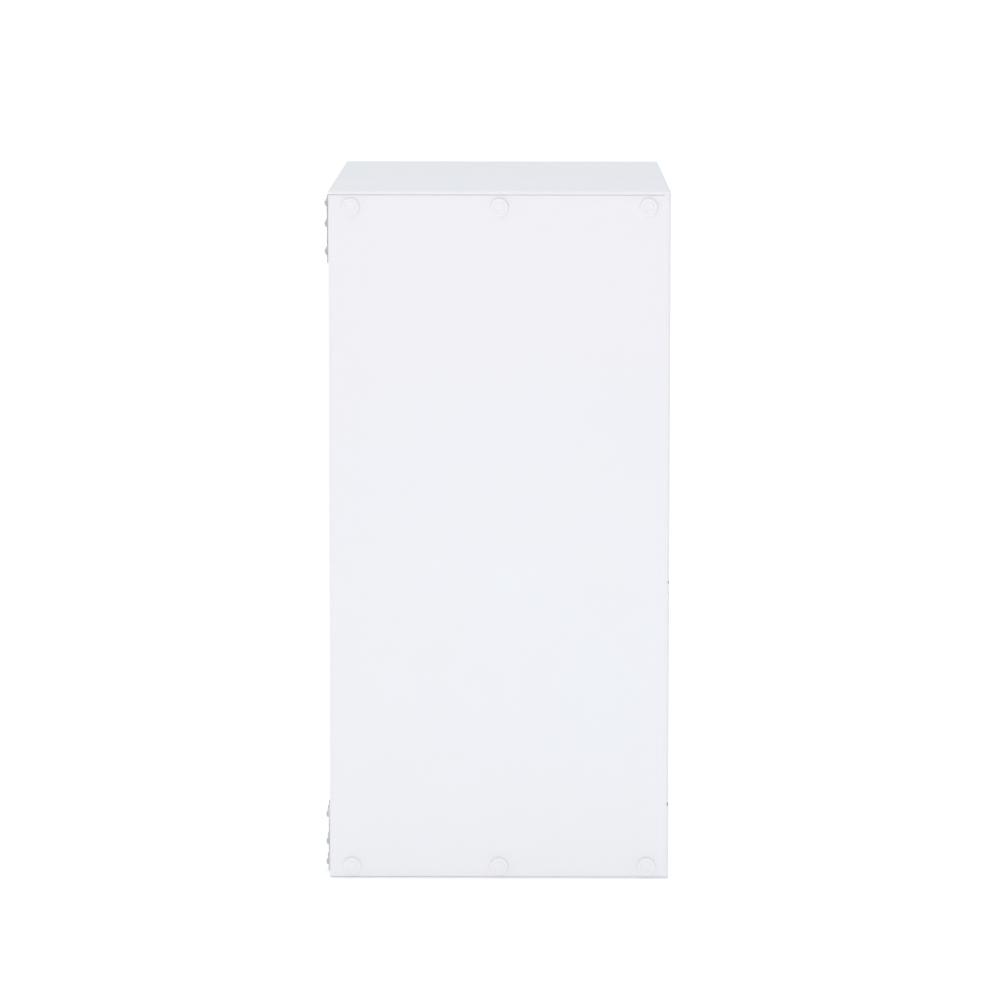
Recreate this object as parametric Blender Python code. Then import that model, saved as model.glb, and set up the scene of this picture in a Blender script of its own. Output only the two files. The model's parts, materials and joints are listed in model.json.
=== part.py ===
"""Sheet-steel locker cabinet with one hinged door, as an assembly of separate pieces.

Units are metres, +Z is up, the door faces -Y and swings on the +X side. The origin is on
the floor, under the middle of the whole object. Casing pieces are fixed to each other, the
door turns about its hinge pins, and the lock core turns inside the door.
"""
import math

import bmesh
import bpy
from mathutils import Matrix, Vector

# Overall size of the casing, without the heads that stand proud of it.
WIDTH = 0.480
DEPTH = 0.295
HEIGHT = 0.600

# Sheet and clearances.
SHEET = 0.0010
GAP = 0.0003
SLIP = 0.0003

# Lid and base trays.
LID_EDGE = 0.0032
BASE_EDGE = 0.0016
TRAY_SKIN = 0.0012
TRAY_FLANGE = 0.0230
TRAY_REAR_INSET = 0.0065
TRAY_EAR = 0.0080
FRONT_CORNER = 0.0040
REAR_CORNER = 0.0025

# Folded side panels.
STILE = 0.0320
STILE_RETURN = 0.0185
REAR_LIP = 0.0150

# Connector bolts through the sides, each with a dished cap over its head.
BOLT_HEAD_R = 0.00775
BOLT_HEAD_H = 0.0016
BOLT_RIM_ROUND = 0.0007
BOLT_DISH_R = 0.0058
BOLT_DISH_FLAT_R = 0.0034
BOLT_DISH_DEPTH = 0.00035
BOLT_SHANK_R = 0.0029
BOLT_LENGTH = 0.0075
BOLT_EDGE = 0.0192
BOLT_FROM_TOP = 0.0138
BOLT_FROM_FLOOR = 0.0112
WELD_NUT_R = 0.0055
WELD_NUT_H = 0.0045

# Hinges.
HINGE_LENGTH = 0.0580
HINGE_INSET = 0.0050
LEAF = 0.0012
LEAF_WIDTH = 0.0240
KNUCKLES = 5
PIN_R = 0.00105
KNUCKLE_BORE_R = 0.0012
KNUCKLE_CLEAR = 0.0003
KNUCKLE_PROUD = 0.0021
PIN_HEAD_R = 0.0016
PIN_HEAD_H = 0.0006
LEAF_SCREW_LINE = 0.0140
LEAF_SCREW_PLACES = (0.0065, 0.0245, 0.0485)

# Domed hinge screws and pan-head back screws.
SCREW_HEAD_R = 0.0029
SCREW_HEAD_H = 0.0021
SCREW_SHANK_R = 0.0014
SCREW_LENGTH = 0.0075
SCREW_HOLE_R = 0.0018
BACK_SCREW_HEAD_R = 0.0038
BACK_SCREW_HEAD_H = 0.0020
BACK_SCREW_LENGTH = 0.0050
BACK_SCREW_EDGE = 0.0900
BACK_SCREW_DROP = 0.0110

# Door.
DOOR_THICKNESS = 0.0170
DOOR_END_GAP = 0.0013
LATCH_SIDE_GAP = 0.0020
DOOR_LIP = 0.0110
DOOR_CORNER = 0.0015
VENT_LENGTH = 0.1100
VENT_HEIGHT = 0.0050
VENT_PITCH = 0.0140
VENT_COUNT = 4
VENT_FROM_END = 0.0850
SLOT_ROUND = 0.98
STIFFENER_WIDTH = 0.0600
STIFFENER_FOOT = 0.0140
STIFFENER_FROM_END = 0.1650

# Recessed pull and its lock.
PULL_WIDTH = 0.0380
PULL_HEIGHT = 0.0960
PULL_DEPTH = 0.0125
PULL_EDGE = 0.0200
PULL_MIDDLE = 0.3000
PULL_UNDERCUT = 0.0090
PULL_RIM = 0.0050
PULL_CORNER = 0.0070
LOCK_FROM_PULL_EDGE = 0.0155
LOCK_RISE = 0.0280
LOCK_HEAD_R = 0.0090
LOCK_HEAD_H = 0.0018
LOCK_BARREL_R = 0.0075
LOCK_CORE_R = 0.0052
LOCK_NUT_ACROSS = 0.0200
LOCK_NUT_H = 0.0022
KEYWAY = (0.0016, 0.0068, 0.0040)
CAM_OVERLAP = 0.0105
CAM_WIDTH = 0.0140
CAM_SHEET = 0.0020
CAM_BEHIND_STILE = 0.0015
CAM_SCREW_R = 0.0035
CAM_SCREW_H = 0.0018

# Door stop: magnet, its plate, and two rubber bumpers.
STOP_SPACE = 0.0090
MAGNET_WIDTH = 0.0400
MAGNET_HEIGHT = 0.0110
STRIKE = 0.0010
CATCH_FROM_EDGE = 0.0700
BUMPER_R = 0.0050
BUMPER_FROM_EDGE = 0.0400

# Shelf and its ledges.
SHELF_TOP = 0.3600
SHELF_FOLD = 0.0200
SHELF_SIDE_GAP = 0.0015
SHELF_END_GAP = 0.0015
LEDGE_REACH = 0.0160
LEDGE_DROP = 0.0180
LEDGE_SHORT = 0.0200

ROUND = 24
SMALL_ROUND = 12
CORNER_STEPS = 8
RIM_STEPS = 3

# Worked-out places.
HEADS_PROUD = GAP + LEAF + GAP + SCREW_HEAD_H
FRONT = -DEPTH / 2 + HEADS_PROUD / 2
BACK = FRONT + DEPTH
SIDE = WIDTH / 2
PANEL_LOW = BASE_EDGE + GAP
PANEL_HIGH = HEIGHT - LID_EDGE - GAP
INNER_SIDE = SIDE - SHEET
TRAY_SIDE = INNER_SIDE - GAP
DOOR_BACK = FRONT + DOOR_THICKNESS
TRAY_FRONT = DOOR_BACK + STOP_SPACE
TRAY_BACK = BACK - TRAY_REAR_INSET
KNUCKLE_R = KNUCKLE_BORE_R + LEAF
HINGE_SIDE_GAP = KNUCKLE_R + KNUCKLE_CLEAR
HINGE_X = SIDE - STILE - HINGE_SIDE_GAP
HINGE_Y = FRONT - KNUCKLE_PROUD + KNUCKLE_R
DOOR_RIGHT = HINGE_X - HINGE_SIDE_GAP
DOOR_LEFT = -SIDE + STILE + LATCH_SIDE_GAP
DOOR_LOW = PANEL_LOW + DOOR_END_GAP
DOOR_HIGH = PANEL_HIGH - DOOR_END_GAP
DOOR_MIDDLE = (DOOR_LEFT + DOOR_RIGHT) / 2
PULL_LEFT = DOOR_LEFT + PULL_EDGE
PULL_RIGHT = PULL_LEFT + PULL_WIDTH
LOCK_X = PULL_LEFT + LOCK_FROM_PULL_EDGE
LOCK_Z = PULL_MIDDLE + LOCK_RISE
PULL_LOW = PULL_MIDDLE - PULL_HEIGHT / 2
PULL_HIGH = PULL_MIDDLE + PULL_HEIGHT / 2
POCKET_FLOOR = FRONT + SHEET + GAP + PULL_DEPTH
CAM_Y = FRONT + STILE_RETURN + CAM_BEHIND_STILE
CAM_LENGTH = LOCK_X - (STILE - SIDE) + CAM_OVERLAP
BACK_SHEET_Y = TRAY_BACK + GAP

PAINT = ("white_paint", (0.86, 0.87, 0.88), 0.42, 0.0)
INNER_PAINT = ("inner_white_paint", (0.84, 0.85, 0.86), 0.48, 0.0)
BOLT_PAINT = ("bolt_white_paint", (0.88, 0.88, 0.88), 0.36, 0.0)
NICKEL = ("nickel_plate", (0.62, 0.61, 0.59), 0.30, 1.0)
ZINC = ("zinc_plate", (0.66, 0.67, 0.69), 0.38, 1.0)
CHROME = ("chrome_plate", (0.78, 0.78, 0.79), 0.14, 1.0)
RUBBER = ("grey_rubber", (0.20, 0.20, 0.21), 0.80, 0.0)
MAGNET_BLACK = ("magnet_housing", (0.05, 0.05, 0.055), 0.55, 0.0)


def clear_scene():
    """Remove every object that the file starts with."""
    for item in list(bpy.data.objects):
        bpy.data.objects.remove(item, do_unlink=True)


def material(finish):
    """A Principled material for one finish, made once."""
    name, colour, roughness, metallic = finish
    found = bpy.data.materials.get(name)
    if found:
        return found
    made = bpy.data.materials.new(name)
    made.use_nodes = True
    shader = made.node_tree.nodes["Principled BSDF"]
    shader.inputs["Base Color"].default_value = (*colour, 1.0)
    shader.inputs["Roughness"].default_value = roughness
    shader.inputs["Metallic"].default_value = metallic
    return made


def add_box(shape, low, high):
    """Add a closed box between two corners."""
    size = [b - a for a, b in zip(low, high)]
    middle = [(a + b) / 2 for a, b in zip(low, high)]
    place = Matrix.Translation(middle) @ Matrix.Diagonal((*size, 1.0))
    bmesh.ops.create_cube(shape, size=1.0, matrix=place)


def add_rod(shape, start, axis, radius, length, sides=SMALL_ROUND):
    """Add a closed round rod that runs from start along a unit axis."""
    direction = Vector(axis)
    middle = Vector(start) + direction * length / 2
    turn = direction.to_track_quat("Z", "Y").to_matrix().to_4x4()
    bmesh.ops.create_cone(
        shape, cap_ends=True, segments=sides, radius1=radius, radius2=radius,
        depth=length, matrix=Matrix.Translation(middle) @ turn)


def add_prism(shape, outline, low, high):
    """Add a closed prism: an outline in X and Y, raised from one height to another."""
    floor = [shape.verts.new((x, y, low)) for x, y in outline]
    roof = [shape.verts.new((x, y, high)) for x, y in outline]
    count = len(outline)
    shape.faces.new(list(reversed(floor)))
    shape.faces.new(roof)
    for here in range(count):
        there = (here + 1) % count
        shape.faces.new((floor[here], floor[there], roof[there], roof[here]))


def add_turned(shape, profile, sides):
    """Add a body turned about Z from (radius, height) points that start and end on Z."""
    rings = []
    for radius, height in profile:
        if radius == 0:
            rings.append([shape.verts.new((0, 0, height))])
            continue
        angles = [2 * math.pi * step / sides for step in range(sides)]
        rings.append([
            shape.verts.new((radius * math.cos(a), radius * math.sin(a), height))
            for a in angles])
    for lower, upper in zip(rings, rings[1:]):
        for here in range(sides):
            there = (here + 1) % sides
            corners = [lower[here % len(lower)], lower[there % len(lower)],
                       upper[there % len(upper)], upper[here % len(upper)]]
            shape.faces.new(list(dict.fromkeys(corners)))


def arc(centre, radius, start, end, steps):
    """Points on an arc, in degrees, from start to end inclusive."""
    points = []
    for step in range(steps + 1):
        angle = math.radians(start + (end - start) * step / steps)
        points.append((centre[0] + radius * math.cos(angle),
                       centre[1] + radius * math.sin(angle)))
    return points


def rounded_rectangle(low, high, front_radius, rear_radius):
    """Outline of a rectangle in X and Y whose front and rear corners have their own radius."""
    (left, front), (right, rear) = low, high
    front_in = front + front_radius
    rear_in = rear - rear_radius
    return (
        arc((left + front_radius, front_in), front_radius, 180, 270, CORNER_STEPS)
        + arc((right - front_radius, front_in), front_radius, 270, 360, CORNER_STEPS)
        + arc((right - rear_radius, rear_in), rear_radius, 0, 90, CORNER_STEPS)
        + arc((left + rear_radius, rear_in), rear_radius, 90, 180, CORNER_STEPS))


def new_object(name, shape, finish=None, place=(0, 0, 0), parent=None):
    """Turn a bmesh in world coordinates into an object whose origin is at place."""
    bmesh.ops.translate(shape, vec=-Vector(place), verts=shape.verts)
    bmesh.ops.recalc_face_normals(shape, faces=shape.faces)
    mesh = bpy.data.meshes.new(name)
    shape.to_mesh(mesh)
    shape.free()
    if finish:
        mesh.materials.append(material(finish))
    return put(name, mesh, place, parent)


def put(name, mesh, place, parent=None, turn=(0, 0, 0)):
    """Place a mesh in the scene at world coordinates, under a parent that isn't turned."""
    item = bpy.data.objects.new(name, mesh)
    bpy.context.scene.collection.objects.link(item)
    item.parent = parent
    item.location = Vector(place) - (parent_place(parent) if parent else Vector())
    item.rotation_euler = turn
    return item


def parent_place(parent):
    """World place of an empty, through the empties that hold it."""
    above = parent_place(parent.parent) if parent.parent else Vector()
    return parent.location + above


def pivot(name, place, parent=None):
    """An empty on a joint's axis."""
    item = put(name, None, place, parent)
    item.empty_display_size = 0.02
    return item


def smooth(item, degrees=35):
    """Shade a round piece smooth, with its real edges kept sharp."""
    item.data.shade_smooth()
    item.data.set_sharp_from_angle(angle=math.radians(degrees))


def combine(item, shape, operation, label):
    """Cut or join a hidden tool shape, given in world coordinates."""
    tool = new_object(f"{item.name}_{label}", shape, place=item.matrix_world.translation)
    tool.parent = item.parent
    tool.location = item.location
    tool.hide_render = True
    tool.display_type = "WIRE"
    step = item.modifiers.new(label, "BOOLEAN")
    step.solver = "EXACT"
    step.operation = operation
    step.object = tool


def cut(item, shape, label):
    """Take a tool shape away from a piece."""
    bpy.context.view_layer.update()
    combine(item, shape, "DIFFERENCE", label)


def join(item, shape, label):
    """Join a tool shape to a piece."""
    bpy.context.view_layer.update()
    combine(item, shape, "UNION", label)


def bolt_places():
    """Depth and height of each connector bolt on one side."""
    depths = (FRONT + BOLT_EDGE, (FRONT + BACK) / 2, BACK - BOLT_EDGE)
    heights = (HEIGHT - BOLT_FROM_TOP, BOLT_FROM_FLOOR)
    return [(y, z) for z in heights for y in depths]


def hinge_levels():
    """Lower end of each hinge, top hinge first."""
    return (HEIGHT - HINGE_INSET - HINGE_LENGTH, HINGE_INSET)


def hinge_screw_heights(low, top_hinge):
    """Heights of the three screws of a leaf, counted from the casing's nearer end."""
    if top_hinge:
        return [low + HINGE_LENGTH - place for place in LEAF_SCREW_PLACES]
    return [low + place for place in LEAF_SCREW_PLACES]


def side_outline():
    """Plan outline of the +X side panel: front stile with its return, skin, rear lip."""
    stile_edge = SIDE - STILE
    inner_front = FRONT + SHEET
    inner_back = BACK - SHEET
    outer_front = arc((SIDE - FRONT_CORNER, FRONT + FRONT_CORNER), FRONT_CORNER,
                      270, 360, CORNER_STEPS)
    outer_back = arc((SIDE - REAR_CORNER, BACK - REAR_CORNER), REAR_CORNER,
                     0, 90, CORNER_STEPS)
    rear_inner = arc((SIDE - REAR_CORNER, BACK - REAR_CORNER), REAR_CORNER - SHEET,
                     90, 0, CORNER_STEPS)
    front_inner = arc((SIDE - FRONT_CORNER, FRONT + FRONT_CORNER), FRONT_CORNER - SHEET,
                      360, 270, CORNER_STEPS)
    return (
        [(stile_edge, FRONT + STILE_RETURN), (stile_edge, FRONT)]
        + outer_front + outer_back
        + [(SIDE - REAR_LIP, BACK), (SIDE - REAR_LIP, inner_back)]
        + rear_inner + front_inner
        + [(stile_edge + SHEET, inner_front), (stile_edge + SHEET, FRONT + STILE_RETURN)])


def make_side(name, sign):
    """One folded side panel, drilled for its bolts, and on the hinge side for the leaves."""
    shape = bmesh.new()
    outline = [(sign * x, y) for x, y in side_outline()]
    add_prism(shape, outline, PANEL_LOW, PANEL_HIGH)
    panel = new_object(name, shape, PAINT, (sign * SIDE, (FRONT + BACK) / 2, 0))
    holes = bmesh.new()
    for y, z in bolt_places():
        start = (sign * (SIDE + SHEET), y, z)
        add_rod(holes, start, (-sign, 0, 0), BOLT_SHANK_R + SLIP, 3 * SHEET)
    if sign > 0:
        for number, low in enumerate(hinge_levels()):
            for z in hinge_screw_heights(low, number == 0):
                start = (HINGE_X + LEAF_SCREW_LINE, FRONT - SHEET, z)
                add_rod(holes, start, (0, 1, 0), SCREW_HOLE_R, 3 * SHEET)
    cut(panel, holes, "drill")


def make_tray(name, plate_low, plate_high, outward):
    """Lid or base: a hemmed plate with a flange all round its inner face."""
    outer = plate_high if outward > 0 else plate_low
    inner = plate_low if outward > 0 else plate_high
    skin = outer - outward * TRAY_SKIN
    flange_end = inner - outward * TRAY_FLANGE
    bolt_z = HEIGHT - BOLT_FROM_TOP if outward > 0 else BOLT_FROM_FLOOR
    shape = bmesh.new()
    plate = rounded_rectangle((-SIDE, FRONT), (SIDE, BACK), FRONT_CORNER, REAR_CORNER)
    add_prism(shape, plate, plate_low, plate_high)
    tray = new_object(name, shape, PAINT, (0, (FRONT + BACK) / 2, outer))

    ring = bmesh.new()
    mid_plate = (plate_low + plate_high) / 2
    add_box(ring, (-TRAY_SIDE, TRAY_FRONT, min(mid_plate, flange_end)),
            (TRAY_SIDE, TRAY_BACK, max(mid_plate, flange_end)))
    join(tray, ring, "flange")

    hollow = bmesh.new()
    past_end = flange_end - outward * SHEET
    add_box(hollow, (-TRAY_SIDE + SHEET, TRAY_FRONT + SHEET, min(skin, past_end)),
            (TRAY_SIDE - SHEET, TRAY_BACK - SHEET, max(skin, past_end)))
    cut(tray, hollow, "hollow")

    ears = bmesh.new()
    for sign in (-1, 1):
        walls = sorted((sign * TRAY_SIDE, sign * (TRAY_SIDE - SHEET)))
        add_box(ears, (walls[0], FRONT + TRAY_EAR, min(mid_plate, flange_end)),
                (walls[1], TRAY_FRONT + SHEET / 2, max(mid_plate, flange_end)))
    join(tray, ears, "ears")

    nuts = bmesh.new()
    holes = bmesh.new()
    for sign in (-1, 1):
        for y, z in bolt_places():
            if z != bolt_z:
                continue
            face = sign * (TRAY_SIDE - SHEET / 2)
            add_rod(nuts, (face, y, z), (-sign, 0, 0), WELD_NUT_R, WELD_NUT_H, 6)
            add_rod(holes, (sign * SIDE, y, z), (-sign, 0, 0), BOLT_SHANK_R + SLIP, BOLT_LENGTH)
    for x in (-SIDE + BACK_SCREW_EDGE, SIDE - BACK_SCREW_EDGE):
        z = outer - outward * BACK_SCREW_DROP
        add_rod(holes, (x, TRAY_BACK + SHEET, z), (0, -1, 0), SCREW_HOLE_R, 3 * SHEET)
    join(tray, nuts, "weld_nuts")
    cut(tray, holes, "drill")


def make_back():
    """Flat back sheet, held behind the tray flanges by four screws."""
    low = PANEL_LOW
    high = PANEL_HIGH
    shape = bmesh.new()
    add_box(shape, (-TRAY_SIDE, BACK_SHEET_Y, low), (TRAY_SIDE, BACK_SHEET_Y + SHEET, high))
    panel = new_object("back_panel", shape, INNER_PAINT,
                       (0, BACK_SHEET_Y, (low + high) / 2))
    holes = bmesh.new()
    for x, z in back_screw_places():
        add_rod(holes, (x, BACK_SHEET_Y - SHEET, z), (0, 1, 0), SCREW_HOLE_R, 3 * SHEET)
    cut(panel, holes, "drill")


def back_screw_places():
    """Width and height of the four back screws."""
    widths = (-SIDE + BACK_SCREW_EDGE, SIDE - BACK_SCREW_EDGE)
    heights = (HEIGHT - BACK_SCREW_DROP, BACK_SCREW_DROP)
    return [(x, z) for z in heights for x in widths]


def bolt_mesh():
    """Connector bolt along +Z with its dished cap, the head's underside at zero."""
    rim = arc((BOLT_HEAD_R - BOLT_RIM_ROUND, BOLT_HEAD_H - BOLT_RIM_ROUND), BOLT_RIM_ROUND,
              0, 90, RIM_STEPS)
    dish = BOLT_HEAD_H - BOLT_DISH_DEPTH
    shape = bmesh.new()
    add_turned(shape, [
        (0, GAP - BOLT_LENGTH), (BOLT_SHANK_R, GAP - BOLT_LENGTH), (BOLT_SHANK_R, 0),
        (BOLT_HEAD_R, 0), *rim, (BOLT_DISH_R, BOLT_HEAD_H), (BOLT_DISH_FLAT_R, dish),
        (0, dish)], ROUND)
    return finish_mesh("connector_bolt", shape, BOLT_PAINT)


def finish_mesh(name, shape, finish):
    """A shared mesh with its own finish, shaded smooth."""
    bmesh.ops.recalc_face_normals(shape, faces=shape.faces)
    mesh = bpy.data.meshes.new(name)
    shape.to_mesh(mesh)
    shape.free()
    mesh.materials.append(material(finish))
    mesh.shade_smooth()
    mesh.set_sharp_from_angle(angle=math.radians(35))
    return mesh


def screw_mesh(name, head_r, head_h, length, finish):
    """Domed screw along +Z, its head's underside at zero."""
    dome = []
    for step in range(1, 4):
        angle = math.pi / 2 * step / 4
        dome.append((head_r * math.cos(angle), head_h * (0.2 + 0.8 * math.sin(angle))))
    shape = bmesh.new()
    add_turned(shape, [
        (0, -length), (SCREW_SHANK_R, -length), (SCREW_SHANK_R, 0), (head_r, 0),
        (head_r, head_h * 0.2), *dome, (0, head_h)], SMALL_ROUND)
    return finish_mesh(name, shape, finish)


def make_bolts():
    """Six connector bolts on each side."""
    mesh = bolt_mesh()
    for side_name, sign in (("right", 1), ("left", -1)):
        for number, (y, z) in enumerate(bolt_places(), start=1):
            put(f"bolt_{side_name}_{number}", mesh, (sign * (SIDE + GAP), y, z),
                turn=(0, sign * math.pi / 2, 0))


def leaf_outline(sign):
    """Plan outline of a leaf rolled round its pin, about the pin; sign is its direction in X."""
    plate_front = FRONT - HINGE_Y - GAP - LEAF
    plate_back = FRONT - HINGE_Y - GAP
    outer_start = math.degrees(math.asin(plate_front / KNUCKLE_R))
    inner_end = math.degrees(math.asin(plate_back / KNUCKLE_BORE_R))
    slit = math.degrees(math.asin((plate_back + GAP) / KNUCKLE_R))
    outer = arc((0, 0), KNUCKLE_R, outer_start, slit - 360, SMALL_ROUND)
    inner = arc((0, 0), KNUCKLE_BORE_R, slit - 360, inner_end, SMALL_ROUND)
    points = [(LEAF_WIDTH, plate_front), *outer, *inner, (LEAF_WIDTH, plate_back)]
    return [(sign * x, y) for x, y in points]


def make_leaf(name, low, sign, kept, screws, parent=None):
    """One hinge leaf: rolled plate, with the other leaf's knuckles notched out."""
    shape = bmesh.new()
    outline = [(HINGE_X + x, HINGE_Y + y) for x, y in leaf_outline(sign)]
    add_prism(shape, outline, low, low + HINGE_LENGTH)
    leaf = new_object(name, shape, NICKEL, (HINGE_X, HINGE_Y, low), parent)
    pitch = HINGE_LENGTH / KNUCKLES
    reach = KNUCKLE_R + 2 * SLIP
    notches = bmesh.new()
    for knuckle in range(KNUCKLES):
        if knuckle in kept:
            continue
        bottom = low + knuckle * pitch - SLIP / 2
        top = bottom + pitch + SLIP
        if knuckle == 0:
            bottom -= SHEET
        if knuckle == KNUCKLES - 1:
            top += SHEET
        add_box(notches, (HINGE_X - reach, HINGE_Y - reach, bottom),
                (HINGE_X + reach, HINGE_Y + reach, top))
    cut(leaf, notches, "notch")
    holes = bmesh.new()
    for z in screws:
        start = (HINGE_X + sign * LEAF_SCREW_LINE, FRONT - 2 * LEAF, z)
        add_rod(holes, start, (0, 1, 0), SCREW_HOLE_R, 2 * LEAF)
    cut(leaf, holes, "drill")
    smooth(leaf)


def make_hinges(door):
    """Two butt hinges with rolled knuckles, their pins and domed screws."""
    screw = screw_mesh("hinge_screw", SCREW_HEAD_R, SCREW_HEAD_H, SCREW_LENGTH, ZINC)
    frame_knuckles = range(0, KNUCKLES, 2)
    door_knuckles = range(1, KNUCKLES, 2)
    head_y = FRONT - GAP - LEAF - GAP
    for number, low in enumerate(hinge_levels()):
        label = "top" if number == 0 else "bottom"
        screws = hinge_screw_heights(low, number == 0)
        make_leaf(f"hinge_frame_leaf_{label}", low, 1, frame_knuckles, screws)
        make_leaf(f"hinge_door_leaf_{label}", low, -1, door_knuckles, screws, door)
        shape = bmesh.new()
        add_turned(shape, [
            (0, 0), (PIN_R, 0), (PIN_R, HINGE_LENGTH + SLIP),
            (PIN_HEAD_R, HINGE_LENGTH + SLIP),
            (PIN_HEAD_R, HINGE_LENGTH + SLIP + PIN_HEAD_H / 2),
            (0, HINGE_LENGTH + SLIP + PIN_HEAD_H)], SMALL_ROUND)
        mesh = finish_mesh(f"hinge_pin_{label}", shape, ZINC)
        put(f"hinge_pin_{label}", mesh, (HINGE_X, HINGE_Y, low))
        for place, z in enumerate(screws, start=1):
            frame_x = HINGE_X + LEAF_SCREW_LINE
            door_x = HINGE_X - LEAF_SCREW_LINE
            turn = (math.pi / 2, 0, 0)
            put(f"frame_screw_{label}_{place}", screw, (frame_x, head_y, z), turn=turn)
            put(f"door_screw_{label}_{place}", screw, (door_x, head_y, z), door, turn)


def make_door(door):
    """Door pan: skin folded back on all four sides, vented, drilled, and open for the pull."""
    shape = bmesh.new()
    outline = rounded_rectangle((DOOR_LEFT, FRONT), (DOOR_RIGHT, DOOR_BACK), DOOR_CORNER, GAP)
    add_prism(shape, outline, DOOR_LOW, DOOR_HIGH)
    pan = new_object("door_panel", shape, PAINT, (HINGE_X, HINGE_Y, 0), door)

    hollow = bmesh.new()
    add_box(hollow, (DOOR_LEFT + SHEET, FRONT + SHEET, DOOR_LOW + SHEET),
            (DOOR_RIGHT - SHEET, DOOR_BACK - SHEET, DOOR_HIGH - SHEET))
    cut(pan, hollow, "hollow")
    mouth = bmesh.new()
    add_box(mouth, (DOOR_LEFT + DOOR_LIP, DOOR_BACK - 2 * SHEET, DOOR_LOW + DOOR_LIP),
            (DOOR_RIGHT - DOOR_LIP, DOOR_BACK + SHEET, DOOR_HIGH - DOOR_LIP))
    cut(pan, mouth, "mouth")

    holes = bmesh.new()
    for number, low in enumerate(hinge_levels()):
        for z in hinge_screw_heights(low, number == 0):
            start = (HINGE_X - LEAF_SCREW_LINE, FRONT - SHEET, z)
            add_rod(holes, start, (0, 1, 0), SCREW_HOLE_R, 3 * SHEET)
    add_face_hole(holes, (PULL_LEFT, PULL_LOW), (PULL_RIGHT, PULL_HIGH), PULL_CORNER,
                  (FRONT - SHEET, FRONT + 2 * SHEET))
    for end in (-1, 1):
        start = DOOR_LOW + VENT_FROM_END if end < 0 else DOOR_HIGH - VENT_FROM_END
        for slot in range(VENT_COUNT):
            add_slot(holes, DOOR_MIDDLE, start - end * slot * VENT_PITCH)
    cut(pan, holes, "openings")


def add_face_hole(shape, low, high, radius, ends):
    """Add a cutter along Y between two depths: a rectangle in X and Z with round corners."""
    left, right = low[0] + radius, high[0] - radius
    floor, roof = low[1] + radius, high[1] - radius
    outline = []
    for turn, centre in enumerate(((right, roof), (left, roof), (left, floor), (right, floor))):
        outline += arc(centre, radius, 90 * turn, 90 * turn + 90, CORNER_STEPS)
    add_side_strip(shape, list(dict.fromkeys(outline)), ends)


def add_slot(shape, x, z):
    """Add a round-ended slot cutter that passes through the door skin."""
    low = (x - VENT_LENGTH / 2, z - VENT_HEIGHT / 2)
    high = (x + VENT_LENGTH / 2, z + VENT_HEIGHT / 2)
    radius = VENT_HEIGHT / 2 * SLOT_ROUND
    add_face_hole(shape, low, high, radius, (FRONT - SHEET, FRONT + 2 * SHEET))


def make_stiffener(door):
    """Hat-section stiffener inside the door, between the two groups of vents."""
    front = FRONT + SHEET + GAP
    rear = DOOR_BACK - GAP
    half = STIFFENER_WIDTH / 2
    web = half - STIFFENER_FOOT
    x = DOOR_MIDDLE
    outline = [
        (x - half, front), (x - web, front), (x - web, rear - SHEET),
        (x + web, rear - SHEET), (x + web, front), (x + half, front),
        (x + half, front + SHEET), (x + web + SHEET, front + SHEET), (x + web + SHEET, rear),
        (x - web - SHEET, rear), (x - web - SHEET, front + SHEET), (x - half, front + SHEET)]
    shape = bmesh.new()
    add_prism(shape, outline, DOOR_LOW + STIFFENER_FROM_END, DOOR_HIGH - STIFFENER_FROM_END)
    new_object("door_stiffener", shape, INNER_PAINT, (x, front, HEIGHT / 2), door)


def make_pull(door):
    """Pressed pocket behind the door skin, wider than its mouth so that fingers can hook in."""
    left = PULL_LEFT - PULL_UNDERCUT
    mouth_y = FRONT + SHEET + GAP
    shape = bmesh.new()
    add_face_hole(shape, (left - SHEET, PULL_LOW - SHEET),
                  (PULL_RIGHT + SHEET, PULL_HIGH + SHEET), PULL_CORNER + SHEET,
                  (mouth_y, POCKET_FLOOR + SHEET))
    pocket = new_object("pull_pocket", shape, INNER_PAINT, (LOCK_X, POCKET_FLOOR, PULL_MIDDLE),
                        door)
    rim = bmesh.new()
    add_face_hole(rim, (left - PULL_RIM, PULL_LOW - PULL_RIM),
                  (PULL_RIGHT + PULL_RIM, PULL_HIGH + PULL_RIM), PULL_CORNER + PULL_RIM,
                  (mouth_y, mouth_y + SHEET))
    join(pocket, rim, "rim")
    hollow = bmesh.new()
    add_face_hole(hollow, (left, PULL_LOW), (PULL_RIGHT, PULL_HIGH), PULL_CORNER,
                  (mouth_y - SHEET, POCKET_FLOOR))
    cut(pocket, hollow, "hollow")
    hole = bmesh.new()
    add_rod(hole, (LOCK_X, POCKET_FLOOR - SHEET, LOCK_Z), (0, 1, 0),
            LOCK_BARREL_R + SLIP, 3 * SHEET, ROUND)
    cut(pocket, hole, "drill")


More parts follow.
